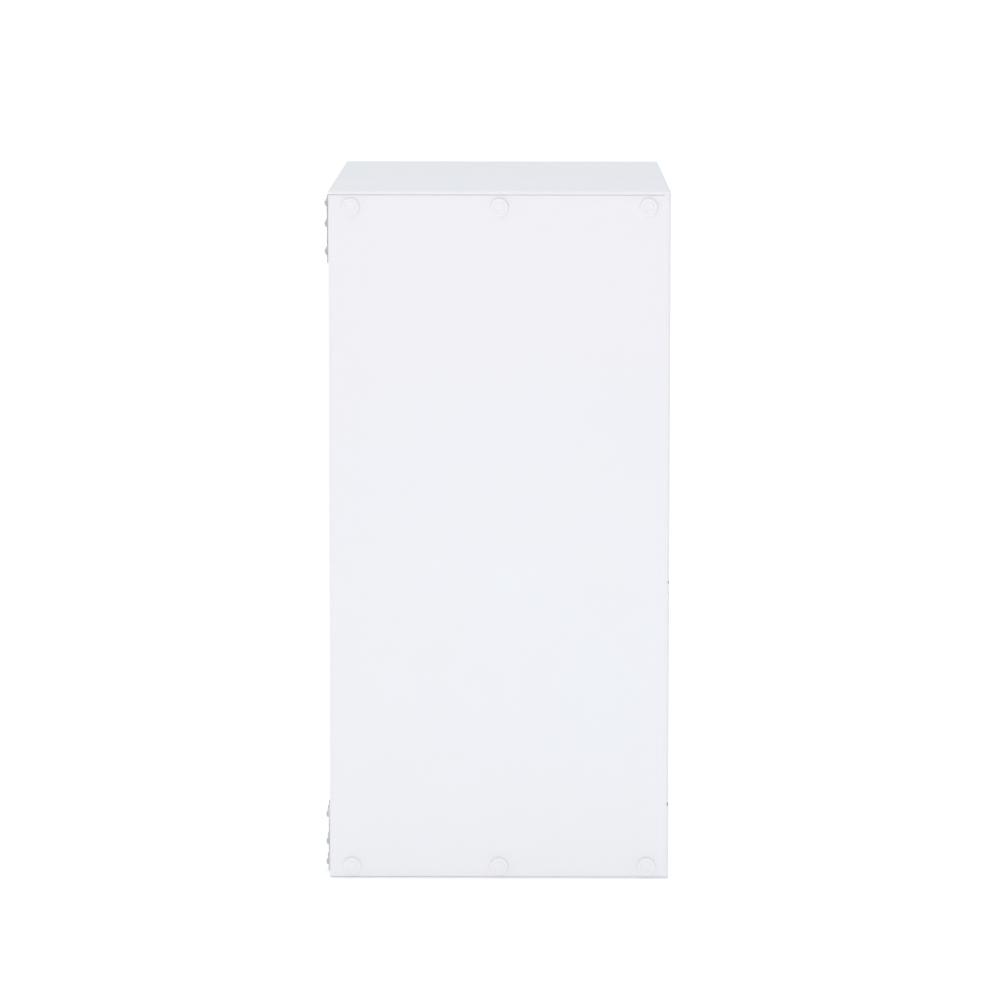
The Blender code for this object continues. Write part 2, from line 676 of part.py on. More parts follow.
def make_lock(door, core):
    """Cam lock in the pocket's floor: barrel, nut, turning plug, cam and its screw."""
    head_front = POCKET_FLOOR - GAP - LOCK_HEAD_H
    barrel_end = CAM_Y - SLIP
    barrel_length = barrel_end - head_front
    place = (LOCK_X, head_front, LOCK_Z)
    bore = LOCK_CORE_R + SLIP
    shape = bmesh.new()
    add_turned(shape, [
        (0, 0), (LOCK_HEAD_R - SHEET / 2, 0), (LOCK_HEAD_R, SHEET / 2),
        (LOCK_HEAD_R, LOCK_HEAD_H), (LOCK_BARREL_R, LOCK_HEAD_H),
        (LOCK_BARREL_R, barrel_length), (0, barrel_length)], ROUND)
    face_back(shape, place)
    barrel = new_object("lock_barrel", shape, CHROME, place, door)
    hollow = bmesh.new()
    add_rod(hollow, (LOCK_X, head_front - SHEET, LOCK_Z), (0, 1, 0), bore,
            barrel_length + 2 * SHEET, ROUND)
    cut(barrel, hollow, "bore")
    smooth(barrel)

    nut_front = POCKET_FLOOR + SHEET + GAP
    shape = bmesh.new()
    add_rod(shape, (LOCK_X, nut_front, LOCK_Z), (0, 1, 0), LOCK_NUT_ACROSS / math.sqrt(3),
            LOCK_NUT_H, 6)
    nut = new_object("lock_nut", shape, ZINC, (LOCK_X, nut_front, LOCK_Z), door)
    hollow = bmesh.new()
    add_rod(hollow, (LOCK_X, nut_front - SHEET, LOCK_Z), (0, 1, 0),
            LOCK_BARREL_R + SLIP, LOCK_NUT_H + 2 * SHEET, ROUND)
    cut(nut, hollow, "bore")

    plug_length = barrel_length - 2 * SLIP
    place = (LOCK_X, head_front + SLIP, LOCK_Z)
    shape = bmesh.new()
    add_turned(shape, [(0, 0), (LOCK_CORE_R, 0), (LOCK_CORE_R, plug_length), (0, plug_length)],
               ROUND)
    face_back(shape, place)
    plug = new_object("lock_plug", shape, CHROME, place, core)
    slot_width, slot_height, slot_depth = KEYWAY
    slot = bmesh.new()
    add_box(slot, (LOCK_X - slot_width / 2, head_front - SHEET, LOCK_Z - slot_height / 2),
            (LOCK_X + slot_width / 2, head_front + slot_depth, LOCK_Z + slot_height / 2))
    cut(plug, slot, "keyway")
    smooth(plug)

    half = CAM_WIDTH / 2
    tip = CAM_LENGTH - half
    outline = (arc((0, 0), half, 180, 360, 2 * CORNER_STEPS)
               + arc((0, tip), half, 0, 180, 2 * CORNER_STEPS))
    shape = bmesh.new()
    add_prism(shape, outline, 0, CAM_SHEET)
    face_back(shape, (LOCK_X, CAM_Y, LOCK_Z))
    new_object("lock_cam", shape, ZINC, (LOCK_X, CAM_Y, LOCK_Z), core)

    place = (LOCK_X, CAM_Y + CAM_SHEET + GAP, LOCK_Z)
    shape = bmesh.new()
    add_turned(shape, [
        (0, 0), (CAM_SCREW_R, 0), (CAM_SCREW_R, CAM_SCREW_H / 2),
        (CAM_SCREW_R * 0.7, CAM_SCREW_H), (0, CAM_SCREW_H)], SMALL_ROUND)
    face_back(shape, place)
    screw = new_object("cam_screw", shape, ZINC, place, core)
    smooth(screw)


def face_back(shape, place):
    """Turn a shape made about +Z so that it runs along +Y from a place."""
    turn = Matrix.Rotation(-math.pi / 2, 4, "X")
    bmesh.ops.transform(shape, matrix=Matrix.Translation(place) @ turn, verts=shape.verts)


def make_catch(door):
    """Magnet on the lid's front flange, its plate on the door, and two rubber bumpers."""
    x = DOOR_LEFT + CATCH_FROM_EDGE
    strike_back = DOOR_BACK + GAP + STRIKE
    flange_low = HEIGHT - LID_EDGE - TRAY_FLANGE
    z = DOOR_HIGH - DOOR_LIP / 2
    half = MAGNET_WIDTH / 2
    strike_half = (DOOR_LIP - 2 * GAP) / 2
    shape = bmesh.new()
    add_box(shape, (x - half, DOOR_BACK + GAP, z - strike_half),
            (x + half, strike_back, z + strike_half))
    new_object("catch_plate", shape, ZINC, (x, DOOR_BACK + GAP, z), door)
    magnet_z = max(z, flange_low + MAGNET_HEIGHT / 2)
    shape = bmesh.new()
    add_box(shape, (x - half, strike_back + GAP, magnet_z - MAGNET_HEIGHT / 2),
            (x + half, TRAY_FRONT - GAP, magnet_z + MAGNET_HEIGHT / 2))
    new_object("catch_magnet", shape, MAGNET_BLACK, (x, TRAY_FRONT, magnet_z))

    for label, x in (("left", DOOR_LEFT + BUMPER_FROM_EDGE),
                     ("right", DOOR_RIGHT - BUMPER_FROM_EDGE)):
        place = (x, DOOR_BACK + GAP, DOOR_LOW + DOOR_LIP / 2 + SHEET)
        length = TRAY_FRONT - GAP - place[1]
        shape = bmesh.new()
        add_turned(shape, [
            (0, 0), (BUMPER_R * 0.8, 0), (BUMPER_R, BUMPER_R * 0.25), (BUMPER_R, length),
            (0, length)], SMALL_ROUND)
        face_back(shape, place)
        bumper = new_object(f"bumper_{label}", shape, RUBBER, place)
        smooth(bumper)


def make_shelf():
    """Shelf folded down on four sides, resting on a ledge at each side."""
    left = -INNER_SIDE + SHELF_SIDE_GAP
    front = TRAY_FRONT
    back = TRAY_BACK - SHELF_END_GAP
    low = SHELF_TOP - SHELF_FOLD
    shape = bmesh.new()
    add_box(shape, (left, front, low), (-left, back, SHELF_TOP))
    shelf = new_object("shelf", shape, INNER_PAINT, (0, (front + back) / 2, SHELF_TOP))
    hollow = bmesh.new()
    add_box(hollow, (left + SHEET, front + SHEET, low - SHEET),
            (-left - SHEET, back - SHEET, SHELF_TOP - SHEET))
    cut(shelf, hollow, "hollow")

    ledge_top = low - GAP
    for label, sign in (("right", 1), ("left", -1)):
        wall = INNER_SIDE - GAP
        outline = [
            (wall, ledge_top - LEDGE_DROP), (wall, ledge_top),
            (wall - LEDGE_REACH, ledge_top), (wall - LEDGE_REACH, ledge_top - SHEET),
            (wall - SHEET, ledge_top - SHEET), (wall - SHEET, ledge_top - LEDGE_DROP)]
        shape = bmesh.new()
        ends = (front + LEDGE_SHORT, back - LEDGE_SHORT)
        add_side_strip(shape, [(sign * x, z) for x, z in outline], ends)
        new_object(f"shelf_ledge_{label}", shape, INNER_PAINT,
                   (sign * wall, (front + back) / 2, ledge_top))


def add_side_strip(shape, outline, ends):
    """Add a prism whose outline is in X and Z and which runs along Y."""
    first = [shape.verts.new((x, ends[0], z)) for x, z in outline]
    last = [shape.verts.new((x, ends[1], z)) for x, z in outline]
    shape.faces.new(first)
    shape.faces.new(list(reversed(last)))
    for here in range(len(outline)):
        there = (here + 1) % len(outline)
        shape.faces.new((first[there], first[here], last[here], last[there]))


def make_back_screws():
    """Four pan-head screws through the back sheet into the tray flanges."""
    mesh = screw_mesh("back_screw", BACK_SCREW_HEAD_R, BACK_SCREW_HEAD_H, BACK_SCREW_LENGTH,
                      ZINC)
    head_y = BACK_SHEET_Y + SHEET + GAP
    for number, (x, z) in enumerate(back_screw_places(), start=1):
        put(f"back_screw_{number}", mesh, (x, head_y, z), turn=(-math.pi / 2, 0, 0))


def main():
    clear_scene()
    door = pivot("door_pivot", (HINGE_X, HINGE_Y, 0))
    core = pivot("lock_pivot", (LOCK_X, CAM_Y, LOCK_Z), door)
    make_side("side_panel_right", 1)
    make_side("side_panel_left", -1)
    make_tray("top_panel", HEIGHT - LID_EDGE, HEIGHT, 1)
    make_tray("bottom_panel", 0, BASE_EDGE, -1)
    make_back()
    make_back_screws()
    make_bolts()
    make_hinges(door)
    make_door(door)
    make_stiffener(door)
    make_pull(door)
    make_lock(door, core)
    make_catch(door)
    make_shelf()


main()
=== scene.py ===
"""Looks of the locker cabinet: camera, studio, materials and refined pieces round the frame."""
import json
import math

import bmesh
import bpy
from mathutils import Matrix, Vector


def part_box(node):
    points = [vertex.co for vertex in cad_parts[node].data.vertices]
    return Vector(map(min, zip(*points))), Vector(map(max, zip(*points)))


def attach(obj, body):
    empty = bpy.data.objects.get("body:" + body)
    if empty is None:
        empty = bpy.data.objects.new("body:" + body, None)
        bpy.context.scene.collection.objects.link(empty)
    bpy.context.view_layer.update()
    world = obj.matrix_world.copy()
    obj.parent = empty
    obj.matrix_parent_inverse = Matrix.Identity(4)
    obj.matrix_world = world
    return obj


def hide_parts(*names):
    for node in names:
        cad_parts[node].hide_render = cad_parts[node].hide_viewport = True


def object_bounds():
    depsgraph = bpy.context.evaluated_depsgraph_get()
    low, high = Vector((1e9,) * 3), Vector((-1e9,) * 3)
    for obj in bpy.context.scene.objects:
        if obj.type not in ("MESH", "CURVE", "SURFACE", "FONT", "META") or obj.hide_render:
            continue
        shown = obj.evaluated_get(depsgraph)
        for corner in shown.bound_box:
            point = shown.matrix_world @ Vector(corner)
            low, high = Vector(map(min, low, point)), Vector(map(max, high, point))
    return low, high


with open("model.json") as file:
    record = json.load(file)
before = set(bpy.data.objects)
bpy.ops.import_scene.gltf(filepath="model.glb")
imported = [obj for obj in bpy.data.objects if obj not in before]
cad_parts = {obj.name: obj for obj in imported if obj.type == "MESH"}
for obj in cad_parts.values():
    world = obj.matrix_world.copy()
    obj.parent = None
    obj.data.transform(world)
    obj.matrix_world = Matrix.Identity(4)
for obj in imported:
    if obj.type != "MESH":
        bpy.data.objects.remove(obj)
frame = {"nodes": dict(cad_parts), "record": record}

CAD_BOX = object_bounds()

MM = 0.001

# Camera: a long lens from the hinge side, a little above the top.
SENSOR = 36.0
LENS = 189.65
CAMERA_PLACE = Vector((4.7663, 0.0245, 0.8676))
CAMERA_PITCH = math.radians(6.739)
CAMERA_YAW = math.radians(-0.277)
CAMERA_ROLL = math.radians(0.042)
CAMERA_REACH = 400.0

# Studio: the surroundings' colour each way, a soft key light and two tinted near ones.
SKY_BEHIND = (0.76, 0.77, 0.79)
SKY_BEFORE = (0.60, 0.48, 0.50)
SKY_DOOR_SIDE = (0.67, 0.68, 0.70)
SKY_BACK_SIDE = (0.40, 0.41, 0.43)
SKY_SIDE_START = 0.45
SKY_ABOVE = (1.16, 1.31, 1.33)
SKY_ABOVE_START = 0.45
SKY_HAZE = (1.0, 1.0, 1.0)
SKY_HAZE_TOP = 0.16
SKY_HAZE_START = 0.06
FLOOR_SIZE = 240.0
FLOOR_WHITE = 0.90
FLOOR_GLOW = 0.30
KEY_PLACE = (2.6, -1.6, 2.6)
KEY_SIZE = 2.2
KEY_POWER = 10.0
NEAR_SIZE = 0.4
HIGH_POWER = 0.45
LOW_POWER = 0.6
HIGH_PLACE = (1.05, 0.1, 0.95)
HIGH_TINT = (1.0, 0.55, 0.8)
LOW_PLACE = (1.05, 0.1, 0.02)
LOW_TINT = (0.2, 1.0, 0.85)

# Finishes.
WHITE = (0.84, 0.825, 0.85)
INNER_WHITE = (0.80, 0.80, 0.81)
BARE_STEEL = (0.38, 0.365, 0.35)

# Chips on the rear edges: height above the floor, and radius.
CHIPS = ((0.066, 2.3 * MM), (0.034, 1.1 * MM), (0.042, 1.0 * MM),
         (0.252, 1.5 * MM), (0.261, 1.9 * MM), (0.317, 1.2 * MM))

# Mesh work.
MERGE = 0.01 * MM
SLIVER = 0.003 * MM
FLAT_ANGLE = math.radians(0.5)
SHARP_ANGLE = math.radians(35)
EDGE_ANGLE = math.radians(40)
ON_PLANE = 0.05 * MM
FOLD_STEPS = 4

# How far edges are rounded: sheet edges, and the larger rounds of bends.
OUTER_EASE = 0.22 * MM
SHEET_EASE = 0.20 * MM
TRAY_BEND = 0.70 * MM
SHELF_BEND = 0.90 * MM
DOOR_BEND = 1.30 * MM
LEAF_EASE = 0.12 * MM
PIN_EASE = 0.10 * MM
METAL_EASE = 0.15 * MM
RUBBER_EASE = 0.40 * MM
PLASTIC_EASE = 0.50 * MM
SOFT_STEPS = 3

# The bolts' caps, in millimetres: a rounded rim, a shoulder and a shallow dish.
CAP_SHANK = 2.9
CAP_RIM = 0.75
CAP_SHOULDER_IN = 1.35
CAP_SHOULDER_ROUND = 2.6
CAP_DISH_R = 2.6
CAP_DISH_RISE = 2.2
CAP_DISH_DEPTH = 0.4
CAP_SIDES = 64

# Screws, in millimetres, with the cross recess as shares of the head's radius and rise.
HINGE_HEAD = 2.1
BACK_HEAD = 2.0
SCREW_SHANK = 1.4
SCREW_SIDES = 48
DOME_RISE = 0.75
TIP_LENGTH = 0.9
THREAD_PITCH = 0.7
THREAD_DEPTH = 0.25
RECESS_REACH = 0.55
RECESS_WIDTH = 0.24
RECESS_DEPTH = 0.85


# ---------------------------------------------------------------- materials

class Shader:
    """A small builder for one procedural material, in metres on the object's own coordinates."""

    def __init__(self, name):
        self.material = bpy.data.materials.new(name)
        self.material.use_nodes = True
        self.tree = self.material.node_tree
        self.surface = self.tree.nodes["Principled BSDF"]
        self.place = self.node("ShaderNodeTexCoord").outputs["Object"]

    def node(self, kind, inputs=(), **settings):
        """Add a node; inputs maps socket names or numbers to values or other sockets."""
        made = self.tree.nodes.new(kind)
        for key, value in settings.items():
            setattr(made, key, value)
        for key, value in dict(inputs).items():
            self.feed(made.inputs[key], value)
        return made

    def feed(self, socket, value):
        """Link a socket, or set it to a constant."""
        if isinstance(value, bpy.types.NodeSocket):
            self.tree.links.new(value, socket)
        else:
            socket.default_value = value

    def math(self, operation, first, second=0.0):
        """A math node's result."""
        return self.node("ShaderNodeMath", {0: first, 1: second},
                         operation=operation).outputs[0]

    def noise(self, scale, detail=3.0, roughness=0.5, stretch=(1, 1, 1)):
        """Noise from 0 to 1; scale is in cells per metre."""
        mapped = self.node("ShaderNodeMapping", {"Vector": self.place, "Scale": stretch})
        made = self.node("ShaderNodeTexNoise", {
            "Vector": mapped.outputs[0], "Scale": scale, "Detail": detail,
            "Roughness": roughness})
        return made.outputs["Fac"]

    def ramp(self, value, low, high, start=0.0, end=1.0):
        """Map a value from low..high to start..end with smooth ends."""
        made = self.node("ShaderNodeMapRange", {
            "Value": value, "From Min": low, "From Max": high, "To Min": start, "To Max": end},
            interpolation_type="SMOOTHSTEP")
        return made.outputs["Result"]

    def blend(self, amount, first, second):
        """Mix two colours by an amount."""
        made = self.node("ShaderNodeMix", data_type="RGBA")
        self.feed(made.inputs[0], amount)
        self.feed(made.inputs[6], colour(first))
        self.feed(made.inputs[7], colour(second))
        return made.outputs[2]

    def bump(self, height, distance, strength=1.0, below=None):
        """A bump from a height of 0 to 1, distance metres deep."""
        inputs = {"Height": height, "Distance": distance, "Strength": strength}
        if below is not None:
            inputs["Normal"] = below
        return self.node("ShaderNodeBump", inputs).outputs["Normal"]

    def edge_distance(self, low, high):
        """Distance from a point on a box-like piece to the box's nearest edge."""
        parts = self.node("ShaderNodeSeparateXYZ", {0: self.place}).outputs
        gaps = []
        for axis in range(3):
            rise = self.math("SUBTRACT", parts[axis], low[axis])
            fall = self.math("SUBTRACT", high[axis], parts[axis])
            gaps.append(self.math("MINIMUM", rise, fall))
        smaller = self.math("MINIMUM", gaps[0], gaps[1])
        larger = self.math("MAXIMUM", gaps[0], gaps[1])
        return self.math("MAXIMUM", smaller, self.math("MINIMUM", larger, gaps[2]))

    def near(self, point, radius):
        """One inside a ragged spot round a point, and zero outside it."""
        far = self.node("ShaderNodeVectorMath", {0: self.place, 1: point},
                        operation="DISTANCE").outputs["Value"]
        ragged = self.math("ADD", far, self.math("MULTIPLY", self.noise(900.0, 3.0),
                                                 radius * 1.2))
        return self.ramp(ragged, radius * 1.25, radius * 1.5, 1.0, 0.0)

    def finish(self, **sockets):
        """Feed the surface's sockets and return the material."""
        for key, value in sockets.items():
            self.feed(self.surface.inputs[key.replace("_", " ")], value)
        return self.material


def colour(value):
    """A colour with full alpha, or a socket as it is."""
    if isinstance(value, bpy.types.NodeSocket):
        return value
    return (*value, 1.0)


def shade(base, factor):
    """A colour made darker or lighter, kept below white."""
    return tuple(min(1.0, part * factor) for part in base)


def enamel(name, base, rough, box=None, wear=0.0, chips=()):
    """Powder-coated enamel: faint mottling, orange peel, painted shade along the edges, rubbed
    edges and chips to the steel.
    """
    shader = Shader(name)
    drift = shader.noise(3.0, 2.0)
    fleck = shader.noise(260.0, 4.0, 0.6)
    tone = shader.blend(drift, shade(base, 0.985), shade(base, 1.012))
    tone = shader.blend(shader.ramp(fleck, 0.62, 0.80, 0.0, 0.10), tone, shade(base, 0.93))
    bare = None
    if box:
        near = shader.edge_distance(*box)
        # Painted shade: the paint turns a little darker and less blue within a few millimetres of
        # the box's edges, standing in for the shading of the folded edges.
        painted_edge_shade = shader.ramp(near, 0.5 * MM, 6.0 * MM, 0.45, 0.0)
        tone = shader.blend(painted_edge_shade, tone, (base[0] * 0.97, base[1] * 0.975, base[2] * 0.94))
        rub = shader.noise(85.0, 5.0, 0.65)
        bare = shader.math("MULTIPLY", shader.ramp(near, 0.15 * MM, 1.2 * MM, 1.0, 0.0),
                           shader.ramp(rub, 0.67, 0.72, 0.0, wear))
    for point, radius in chips:
        spot = shader.near(point, radius)
        bare = spot if bare is None else shader.math("MAXIMUM", bare, spot)
    roughness = shader.ramp(shader.noise(16.0, 4.0, 0.6), 0.3, 0.7, rough - 0.05, rough + 0.06)
    relief = shader.bump(shader.noise(620.0, 2.0, 0.45), 0.035 * MM, 0.6)
    relief = shader.bump(shader.noise(38.0, 2.0, 0.4), 0.12 * MM, 0.35, relief)
    if bare is not None:
        tone = shader.blend(bare, tone, BARE_STEEL)
        relief = shader.bump(shader.math("SUBTRACT", 1.0, bare), 0.08 * MM, 0.8, relief)
    return shader.finish(Base_Color=tone, Roughness=roughness, Normal=relief)


def plated(name, base, dark, rough, grain, stretch):
    """Plated metal: drawn grain along one direction, dull patches and fine pits."""
    shader = Shader(name)
    lines = shader.noise(grain, 3.0, 0.6, stretch)
    patches = shader.noise(90.0, 4.0, 0.6)
    pits = shader.noise(1400.0, 2.0, 0.5)
    tone = shader.blend(shader.ramp(patches, 0.42, 0.72, 0.0, 0.8), base, dark)
    tone = shader.blend(shader.ramp(lines, 0.40, 0.70, 0.0, 0.4), tone, dark)
    roughness = shader.ramp(lines, 0.30, 0.75, rough - 0.06, rough + 0.12)
    relief = shader.bump(lines, 0.02 * MM, 0.5)
    relief = shader.bump(pits, 0.01 * MM, 0.4, relief)
    return shader.finish(Base_Color=tone, Metallic=1.0, Roughness=roughness, Normal=relief)


def moulded(name, base, rough, grain, depth):
    """Rubber or moulded plastic with a fine grain and a little dust."""
    shader = Shader(name)
    dust = shader.noise(45.0, 4.0, 0.6)
    dusty = tuple(part * 1.5 + 0.03 for part in base)
    tone = shader.blend(shader.ramp(dust, 0.5, 0.8, 0.0, 0.35), base, dusty)
    roughness = shader.ramp(dust, 0.3, 0.7, rough - 0.06, rough + 0.08)
    relief = shader.bump(shader.noise(grain, 3.0, 0.6), depth, 0.6)
    return shader.finish(Base_Color=tone, Roughness=roughness, Normal=relief)


def floor_paper():
    """Pale studio paper with a barely visible tooth, lit a little from within."""
    shader = Shader("floor_paper")
    tooth = shader.noise(300.0, 3.0, 0.6)
    tone = shader.blend(tooth, (FLOOR_WHITE - 0.01,) * 3, (FLOOR_WHITE + 0.01,) * 3)
    relief = shader.bump(tooth, 0.05 * MM, 0.2)
    return shader.finish(Base_Color=tone, Roughness=0.85, Normal=relief,
                         Emission_Color=(1.0, 1.0, 1.0, 1.0), Emission_Strength=FLOOR_GLOW)


# ---------------------------------------------------------------- geometry helpers

def body_of(node):
    """Name of the body that a CAD node belongs to."""
    for body, members in frame["record"]["behaviour"]["bodies"].items():
        if node in members:
            return body
    raise ValueError(node)


def nodes_like(*starts):
    """Names of the CAD nodes that start with any of the words, in order."""
    return sorted(name for name in frame["nodes"] if name.startswith(starts))


def stand_in(node, mesh, material, matrix=None, suffix="shell"):
    """Put a mesh in the scene in place of one CAD node, on that node's body, with the given
    material.
    """
    mesh.materials.clear()
    mesh.materials.append(material)
    mesh.shade_smooth()
    mesh.set_sharp_from_angle(angle=SHARP_ANGLE)
    item = bpy.data.objects.new(f"{node}_{suffix}", mesh)
    bpy.context.scene.collection.objects.link(item)
    if matrix is not None:
        item.matrix_world = matrix
    weighted = item.modifiers.new("weighted_normals", "WEIGHTED_NORMAL")
    weighted.keep_sharp = True
    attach(item, body_of(node))
    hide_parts(node)
    return item


def node_shape(node):
    """An editable copy of a CAD node, with its flat faces whole again."""
    shape = bmesh.new()
    shape.from_mesh(frame["nodes"][node].data)
    bmesh.ops.remove_doubles(shape, verts=shape.verts, dist=MERGE)
    bmesh.ops.dissolve_limit(shape, angle_limit=FLAT_ANGLE, use_dissolve_boundaries=False,
                             verts=shape.verts, edges=shape.edges)
    return shape


def mesh_from(shape, name, scale=1.0):
    """Turn a shape into a mesh, scaled, with no slivers and its faces pointing out."""
    bmesh.ops.scale(shape, vec=(scale,) * 3, verts=shape.verts)
    bmesh.ops.remove_doubles(shape, verts=shape.verts, dist=SLIVER)
    bmesh.ops.dissolve_degenerate(shape, edges=shape.edges, dist=SLIVER)
    bmesh.ops.recalc_face_normals(shape, faces=shape.faces)
    mesh = bpy.data.meshes.new(name)
    shape.to_mesh(mesh)
    shape.free()
    return mesh


def round_edges(shape, edges, width, steps):
    """Round some edges of a shape by width."""
    bmesh.ops.bevel(shape, geom=list(edges), offset=width, offset_type="OFFSET",
                    segments=steps, profile=0.5, affect="EDGES", clamp_overlap=True)


def sharp_edges(shape):
    """Edges where two faces meet at a clear angle."""
    return [edge for edge in shape.edges
            if len(edge.link_faces) == 2 and edge.calc_face_angle(0.0) > EDGE_ANGLE]


def on_planes(edge, planes):
    """Whether an edge lies on every one of some axis planes, given as (axis, place)."""
    return all(abs(vert.co[axis] - place) < ON_PLANE
               for axis, place in planes for vert in edge.verts)


def softened(node, width, material, folds=(), fold_width=0.0, steps=2):
    """A CAD node's stand-in with its folds rounded, and its other sharp edges eased by width.

    Each fold is a list of axis planes; the edges on all of them are the fold.
    """
    shape = node_shape(node)
    for planes in folds:
        picked = [edge for edge in sharp_edges(shape) if on_planes(edge, planes)]
        round_edges(shape, picked, fold_width, FOLD_STEPS)
    round_edges(shape, sharp_edges(shape), width, steps)
    return stand_in(node, mesh_from(shape, node), material)


def turned(profile, sides):
    """A body turned about Z from (radius, height) points that start and end on Z."""
    shape = bmesh.new()
    rings = []
    for radius, height in profile:
        if radius == 0:
            rings.append([shape.verts.new((0, 0, height))])
            continue
        angles = [math.tau * step / sides for step in range(sides)]
        rings.append([shape.verts.new((radius * math.cos(a), radius * math.sin(a), height))
                      for a in angles])
    for lower, upper in zip(rings, rings[1:]):
        for here in range(sides):
            there = (here + 1) % sides
            corners = [lower[here % len(lower)], lower[there % len(lower)],
                       upper[there % len(upper)], upper[here % len(upper)]]
            shape.faces.new(list(dict.fromkeys(corners)))
    return shape


def arc(centre, radius, start, end, steps):
    """Points on an arc, in degrees, from start to end inclusive."""
    angles = [math.radians(start + (end - start) * step / steps) for step in range(steps + 1)]
    return [(centre[0] + radius * math.cos(a), centre[1] + radius * math.sin(a))
            for a in angles]


def outward(node, axis, sign):
    """Where a turned piece along a CAD node's axis stands: its head end, facing outwards."""
    low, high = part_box(node)
    place = (low + high) / 2
    place[axis] = high[axis] if sign > 0 else low[axis]
    direction = Vector((0, 0, 0))
    direction[axis] = sign
    turn = direction.to_track_quat("Z", "Y").to_matrix().to_4x4()
    return Matrix.Translation(place) @ turn


# ---------------------------------------------------------------- camera and studio

def make_camera():
    """A camera at the place the view is taken from."""
    data = bpy.data.cameras.new("camera")
    data.sensor_width = SENSOR
    data.lens = LENS
    data.clip_end = CAMERA_REACH
    ahead = Vector((-math.cos(CAMERA_PITCH) * math.cos(CAMERA_YAW),
                    math.cos(CAMERA_PITCH) * math.sin(CAMERA_YAW),
                    -math.sin(CAMERA_PITCH)))
    right = Vector((math.sin(CAMERA_YAW), math.cos(CAMERA_YAW), 0.0))
    above = right.cross(ahead)
    rolled_right = math.cos(CAMERA_ROLL) * right + math.sin(CAMERA_ROLL) * above
    rolled_above = math.cos(CAMERA_ROLL) * above - math.sin(CAMERA_ROLL) * right
    turn = Matrix((rolled_right, rolled_above, -ahead)).transposed()
    camera = bpy.data.objects.new("camera", data)
    camera.matrix_world = Matrix.Translation(CAMERA_PLACE) @ turn.to_4x4()
    bpy.context.scene.collection.objects.link(camera)
    bpy.context.scene.camera = camera


def add_light(name, place, target, size, power, tint=(1, 1, 1)):
    """A square softbox aimed at a point."""
    data = bpy.data.lights.new(name, "AREA")
    data.size = size
    data.energy = power
    data.color = tint
    light = bpy.data.objects.new(name, data)
    light.location = place
    light.rotation_euler = (Vector(target) - Vector(place)).to_track_quat("-Z", "Y").to_euler()
    bpy.context.scene.collection.objects.link(light)


def sky_mix(tree, amount, first, second):
    """Mix two of the surroundings' colours."""
    mix = tree.nodes.new("ShaderNodeMix")
    mix.data_type = "RGBA"
    for number, value in ((6, first), (7, second)):
        if isinstance(value, tuple):
            mix.inputs[number].default_value = (*value, 1.0)
        else:
            tree.links.new(value, mix.inputs[number])
    tree.links.new(amount, mix.inputs[0])
    return mix.outputs[2]


def sky_share(tree, value, start, end):
    """How far a direction's coordinate lies from start to end, from 0 to 1."""
    share = tree.nodes.new("ShaderNodeMapRange")
    share.interpolation_type = "SMOOTHSTEP"
    share.inputs["From Min"].default_value = start
    share.inputs["From Max"].default_value = end
    tree.links.new(value, share.inputs["Value"])
    return share.outputs["Result"]


def make_sky():
    """Pale surroundings: dimmer behind and to the sides, white near the horizon."""
    world = bpy.data.worlds.new("studio")
    world.use_nodes = True
    tree = world.node_tree
    parts = tree.nodes.new("ShaderNodeSeparateXYZ")
    tree.links.new(tree.nodes.new("ShaderNodeTexCoord").outputs["Generated"], parts.inputs[0])
    along, across, up = parts.outputs["X"], parts.outputs["Y"], parts.outputs["Z"]
    tone = sky_mix(tree, sky_share(tree, along, -1.0, 1.0), SKY_BEHIND, SKY_BEFORE)
    tone = sky_mix(tree, sky_share(tree, across, -SKY_SIDE_START, -1.0), tone, SKY_DOOR_SIDE)
    tone = sky_mix(tree, sky_share(tree, across, SKY_SIDE_START, 1.0), tone, SKY_BACK_SIDE)
    tone = sky_mix(tree, sky_share(tree, up, SKY_ABOVE_START, 1.0), tone, SKY_ABOVE)
    tone = sky_mix(tree, sky_share(tree, up, SKY_HAZE_TOP, SKY_HAZE_START), tone, SKY_HAZE)
    tree.links.new(tone, tree.nodes["Background"].inputs["Color"])
    bpy.context.scene.world = world


def make_floor():
    """A wide pale floor at the object's foot."""
    shape = bmesh.new()
    bmesh.ops.create_grid(shape, x_segments=1, y_segments=1, size=FLOOR_SIZE / 2)
    mesh = mesh_from(shape, "floor")
    mesh.materials.append(floor_paper())
    floor = bpy.data.objects.new("floor", mesh)
    floor.location.z = CAD_BOX[0][2]
    bpy.context.scene.collection.objects.link(floor)


def make_studio():
    """Surroundings, floor, a soft key light, and two faint tinted lights before the side."""
    make_sky()
    make_floor()
    bpy.context.scene.view_settings.view_transform = "Standard"
    middle = (Vector(CAD_BOX[0]) + Vector(CAD_BOX[1])) / 2
    add_light("key", KEY_PLACE, middle, KEY_SIZE, KEY_POWER)
    side = CAD_BOX[1][0]
    add_light("high", HIGH_PLACE, (side, middle.y, CAD_BOX[1][2]), NEAR_SIZE, HIGH_POWER,
              HIGH_TINT)
    add_light("low", LOW_PLACE, (side, middle.y, CAD_BOX[0][2]), NEAR_SIZE, LOW_POWER,
              LOW_TINT)


# ---------------------------------------------------------------- pieces

def rim_of(node, end):
    """The fold round the upper or the lower face of a box-like piece."""
    low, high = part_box(node)
    return [[(2, high.z if end > 0 else low.z)]]


